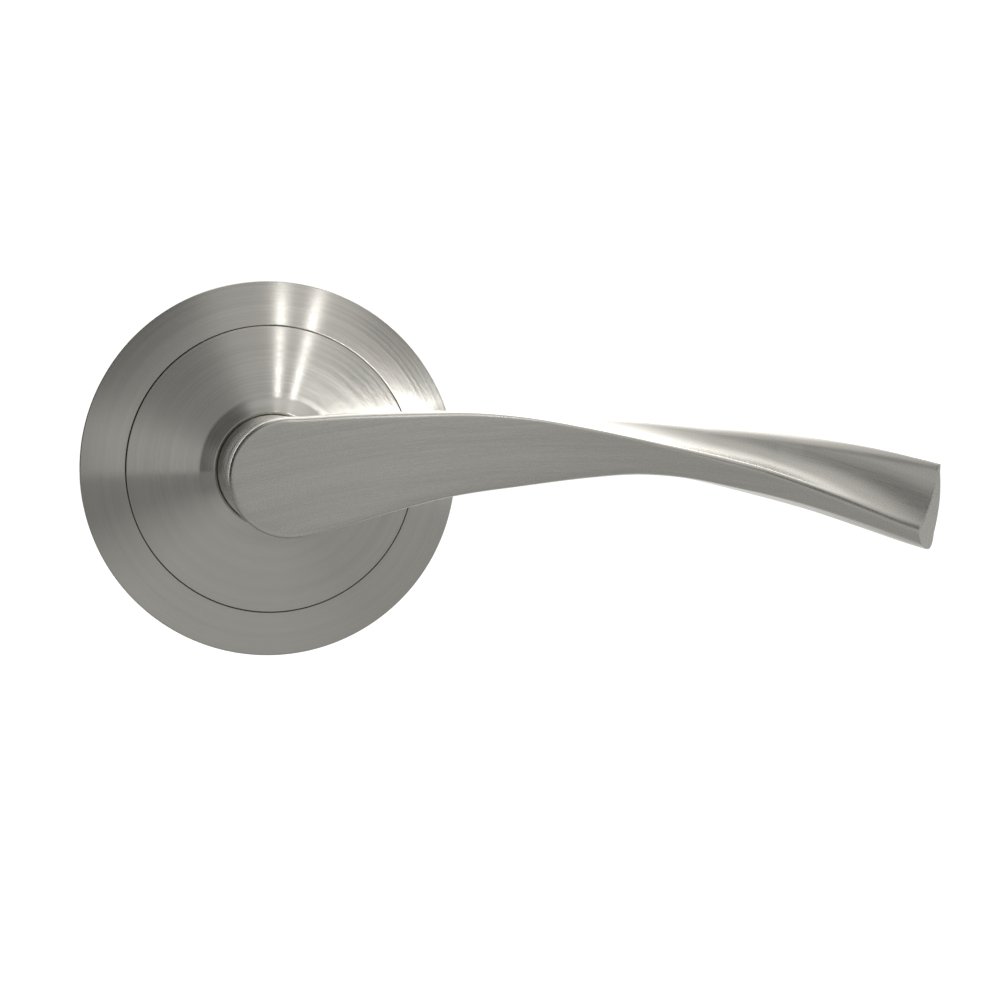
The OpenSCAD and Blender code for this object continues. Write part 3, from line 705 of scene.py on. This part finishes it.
def make_screws(name, places, rings, recess, slot, recess_out, top, node_name):
    """Like screws in one piece, each with a cross recess of two slots down to recess_out."""
    columns, rows = len(rings[0]), len(rings)
    points = np.vstack([np.array(rings).reshape(-1, 3) + place for place in places])
    faces = []
    for i in range(len(places)):
        faces += [tuple(v + i * rows * columns for v in face) for face in closed(rings)]
    piece = make_piece(name, to_frame(points), faces, "zinc_steel", "rose", [node_name])
    for x, _, z in places:
        for wide, high in ((recess / 2, slot / 2), (slot / 2, recess / 2)):
            carve(piece, *block((x - wide, recess_out, z - high), (x + wide, top + 1, z + high)))
    piece.data.polygons.foreach_set("use_smooth", [True] * len(piece.data.polygons))
    piece.data.set_sharp_from_angle(angle=math.radians(40))
    return piece


def make_through_bolts():
    """M4 bolts: a threaded end, a slimmer shank and a bevelled head."""
    outline = [
        (0.4, BOLT_TIP), (BOLT_RADIUS - 0.5, BOLT_TIP + 0.02), (BOLT_RADIUS - 0.05, BOLT_TIP + 0.5),
        (BOLT_RADIUS, BOLT_TIP + 0.6), (BOLT_RADIUS, BOLT_THREAD_END - 0.2), (BOLT_SHANK, BOLT_THREAD_END),
        (BOLT_SHANK, BOLT_SEAT - 0.05), (BOLT_HEAD - 0.15, BOLT_SEAT), (BOLT_HEAD, BOLT_SEAT + 0.15),
        (BOLT_HEAD, BOLT_TOP - 0.8), (BOLT_HEAD - 0.1, BOLT_TOP - 0.6), (2.5, BOLT_TOP - 0.02),
        (2.3, BOLT_TOP), (0.3, BOLT_TOP + 0.01),
    ]
    rings = threaded(
        outline, pitch=0.7, depth=0.38, crest=0.12, start=BOLT_TIP + 0.4, end=BOLT_THREAD_END - 0.1
    )
    places = [(way * BOLT_SPACING / 2, 0, 0) for way in (-1, 1)]
    make_screws("through_bolts_threaded", places, rings, 3.8, 0.9, 3.2, BOLT_TOP, "through_bolts")


def make_wood_screws():
    """Countersunk wood screws: a point, a threaded stretch, a slimmer neck and a flush head."""
    outline = [
        (0.12, SCREW_TIP), (0.4, SCREW_TIP + 0.4), (SCREW_RADIUS, SCREW_POINT_END),
        (SCREW_RADIUS, -0.15), (SCREW_NECK, 0.0), (SCREW_NECK, SCREW_TOP - 1.6),
        (SCREW_HEAD, SCREW_TOP - 0.1), (SCREW_HEAD, SCREW_TOP - 0.02),
        (SCREW_HEAD - 0.25, SCREW_TOP), (0.3, SCREW_TOP + 0.01),
    ]
    rings = threaded(outline, pitch=1.8, depth=0.5, crest=0.1, start=SCREW_TIP + 0.2, end=-0.2)
    places = [(0, 0, way * SCREW_SPACING / 2) for way in (-1, 1)]
    make_screws("wood_screws_threaded", places, rings, 3.6, 0.8, 1.9, SCREW_TOP, "wood_screws")


make_rose_ring()
make_rose_disc()
make_grip()
make_spring()
make_through_bolts()
make_wood_screws()


# ---------------------------------------------------------------- carried-over CAD nodes

def finish_cad_nodes():
    """Gives every CAD node that still shows the material of its slot."""
    slots = {part["node"]: part["material_slot"] for part in frame["record"]["subparts"]}
    for name, piece in frame["nodes"].items():
        piece.data.materials.clear()
        piece.data.materials.append(materials[slots[name]])


finish_cad_nodes()


# ---------------------------------------------------------------- floor, light and camera

def smooth_ramp(tree, value, stops):
    """A grey level that follows a table of (value, level) through a colour ramp."""
    low, high = stops[0][0], stops[-1][0]
    share = node(tree, "MapRange", {"Value": value, "From Min": low, "From Max": high}).outputs["Result"]
    ramp = node(tree, "ValToRGB", {"Fac": share})
    ramp.color_ramp.interpolation = "EASE"
    handles = ramp.color_ramp.elements
    while len(handles) < len(stops):
        handles.new(0.5)
    for handle, (place, level) in zip(handles, stops):
        handle.position = (place - low) / (high - low)
        handle.color = (*grey(level), 1)
    return ramp.outputs["Color"]


FLOOR_DROP, FLOOR_RADIUS = 0.10, 2.5
# Brightness of the floor by its distance behind the door's face, as the metal reflects it,
# under the tip of the lever and to the left of it
FLOOR_RIGHT = [(-0.30, 0.17), (0.0, 0.16), (0.06, 0.38), (0.15, 0.60), (0.35, 0.80), (0.8, 1.2)]
FLOOR_LEFT = [(-0.30, 0.20), (-0.16, 0.27), (-0.06, 0.22), (0.0, 0.02), (0.8, 0.02)]


def make_floor():
    """A pale round floor below the handle, which the metal sees with dark and light areas."""
    height = cad_low.z - FLOOR_DROP
    angles = np.arange(96) / 96 * TURN
    rim = [(FLOOR_RADIUS * math.cos(a), FLOOR_RADIUS * math.sin(a), height) for a in angles]
    mesh = bpy.data.meshes.new("floor")
    mesh.from_pydata(rim, [], [tuple(range(len(rim)))])
    material, tree, shader = new_material("floor")
    place = node(tree, "SeparateXYZ", {0: object_position(tree)})
    across, depth = place.outputs[0], place.outputs[1]
    right = between(tree, across, 0.0, 1.0, 0.02, 0.10)
    reflected = node(tree, "Mix", {
        0: right, 6: smooth_ramp(tree, depth, FLOOR_LEFT), 7: smooth_ramp(tree, depth, FLOOR_RIGHT),
    }, data_type="RGBA").outputs[2]
    far_left = between(tree, across, 1.0, 0.0, -0.35, -0.12)
    reflected = mixed_colour(tree, far_left, reflected, grey(0.02))
    far_right = between(tree, across, 0.0, 1.0, 0.40, 0.75)
    reflected = mixed_colour(tree, far_right, reflected, grey(0.28))
    seen = node(tree, "LightPath").outputs["Is Camera Ray"]
    shader.inputs["Base Color"].default_value = (*grey(0.25), 1)
    shader.inputs["Roughness"].default_value = 0.9
    shader.inputs["Specular IOR Level"].default_value = 0.0
    tree.links.new(mixed_colour(tree, seen, reflected, grey(0.92)), shader.inputs["Emission Color"])
    shader.inputs["Emission Strength"].default_value = 1.0
    floor = bpy.data.objects.new("floor", mesh)
    floor.data.materials.append(material)
    bpy.context.scene.collection.objects.link(floor)


# Brightness of the studio by direction, from the user's side (-1) to behind the door (1)
STUDIO_LEVELS = [
    (-1.0, 0.52), (-0.75, 0.58), (-0.5, 0.66), (-0.25, 0.76),
    (0.0, 0.92), (0.3, 1.45), (0.6, 1.95), (1.0, 2.0),
]
# Flags and panels: direction, half angle of the core and of the whole in degrees, brightness
PANELS = [
    ((-0.97, 0.05, -0.05), 36, 52, 0.04),
    ((-0.62, 0.25, 0.74), 14, 34, 0.05),
    ((-0.56, -0.57, 0.60), 14, 32, 0.10),
    ((-0.05, -0.55, 0.84), 5, 15, 0.30),
    ((0.68, -0.58, 0.42), 7, 24, 0.14),
    ((0.22, -0.95, -0.20), 6, 15, 0.26),
    ((-0.06, -0.99, 0.02), 3, 9, 0.36),
    ((0.62, -0.05, 0.76), 5, 17, 0.66),
    ((0.94, 0.33, -0.11), 24, 42, 0.26),
    ((0.42, 0.82, 0.38), 8, 26, 3.8),
    ((0.0, 0.05, 1.0), 6, 18, 1.6),
]


def make_world():
    """A studio that looks white and that the metal sees as panels of different brightness."""
    world = bpy.data.worlds.new("studio")
    world.use_nodes = True
    tree = world.node_tree
    direction = node(tree, "TexCoord").outputs["Generated"]
    depth = node(tree, "SeparateXYZ", {0: direction}).outputs[1]
    colour = smooth_ramp(tree, depth, STUDIO_LEVELS)
    for centre, core, whole, level in PANELS:
        pair = {0: direction, 1: tuple(Vector(centre).normalized())}
        likeness = node(tree, "VectorMath", pair, operation="DOT_PRODUCT").outputs["Value"]
        limits = {"From Min": math.cos(math.radians(whole)), "From Max": math.cos(math.radians(core))}
        share = node(tree, "MapRange", {"Value": likeness, **limits}, interpolation_type="SMOOTHSTEP")
        colour = mixed_colour(tree, share.outputs["Result"], colour, grey(level))
    seen = node(tree, "LightPath").outputs["Is Camera Ray"]
    colour = mixed_colour(tree, seen, colour, grey(1.05))
    tree.links.new(colour, tree.nodes["Background"].inputs["Color"])
    bpy.context.scene.world = world


CAMERA_PLACE = Vector((-0.0269, -0.3854, 0.0129))
CAMERA_TARGET = Vector((0.0410, 0.0, -0.0059))


def make_camera():
    data = bpy.data.cameras.new("camera")
    data.lens = 79.2
    data.sensor_width = 36.0
    data.clip_start = 0.01
    holder = bpy.data.objects.new("camera", data)
    holder.location = CAMERA_PLACE
    holder.rotation_euler = (CAMERA_TARGET - CAMERA_PLACE).to_track_quat("-Z", "Y").to_euler()
    bpy.context.scene.collection.objects.link(holder)
    bpy.context.scene.camera = holder


def mirrored(azimuth, tilt, distance):
    """Where a lamp stands so that the camera sees it in a rose facet of that azimuth and tilt."""
    a, t = math.radians(azimuth), math.radians(tilt)
    facet = Vector((math.cos(a) * math.sin(t), -math.cos(t), math.sin(a) * math.sin(t)))
    to_camera = CAMERA_PLACE.normalized()
    return (2 * facet.dot(to_camera) * facet - to_camera) * distance


def rose_lamp(name, azimuth, distance, length, width, radiance, tilt=17):
    """A lamp that the camera sees in the rose at an azimuth, as a streak along the radius."""
    place = mirrored(azimuth, tilt, distance)
    away = place.normalized()
    angle = math.radians(azimuth)
    radial = Vector((math.cos(angle), 0, math.sin(angle)))
    radial = (radial - radial.dot(away) * away).normalized()
    light = bpy.data.lights.new(name, "AREA")
    light.shape = "RECTANGLE"
    light.size, light.size_y = length, width
    light.energy = math.pi * length * width * radiance
    holder = bpy.data.objects.new(name, light)
    turn = Matrix((radial, away.cross(radial), away)).transposed()
    holder.matrix_world = Matrix.Translation(place) @ turn.to_4x4()
    bpy.context.scene.collection.objects.link(holder)


def lever_card(name, middle, width, height, radiance):
    """A small card of light above the lever that faces the rose and that the camera never sees."""
    light = bpy.data.lights.new(name, "AREA")
    light.shape = "RECTANGLE"
    light.size, light.size_y = width * MM, height * MM
    light.energy = math.pi * light.size * light.size_y * radiance
    holder = bpy.data.objects.new(name, light)
    holder.location = to_frame(middle)
    holder.rotation_euler = (math.radians(90), 0, 0)
    holder.visible_camera = False
    bpy.context.scene.collection.objects.link(holder)


def make_lights():
    """Two strips for the streaks above the neck, and a card for the light band above the lever."""
    for name, azimuth in (("strip_left", 86), ("strip_right", 74)):
        rose_lamp(name, azimuth, distance=0.9, length=0.20, width=0.006, radiance=32)
    lever_card("card_right", middle=(29, 42, 15.0), width=42, height=4.4, radiance=13.5)


make_floor()
make_world()
make_camera()
make_lights()
bpy.context.scene.view_settings.view_transform = "Standard"
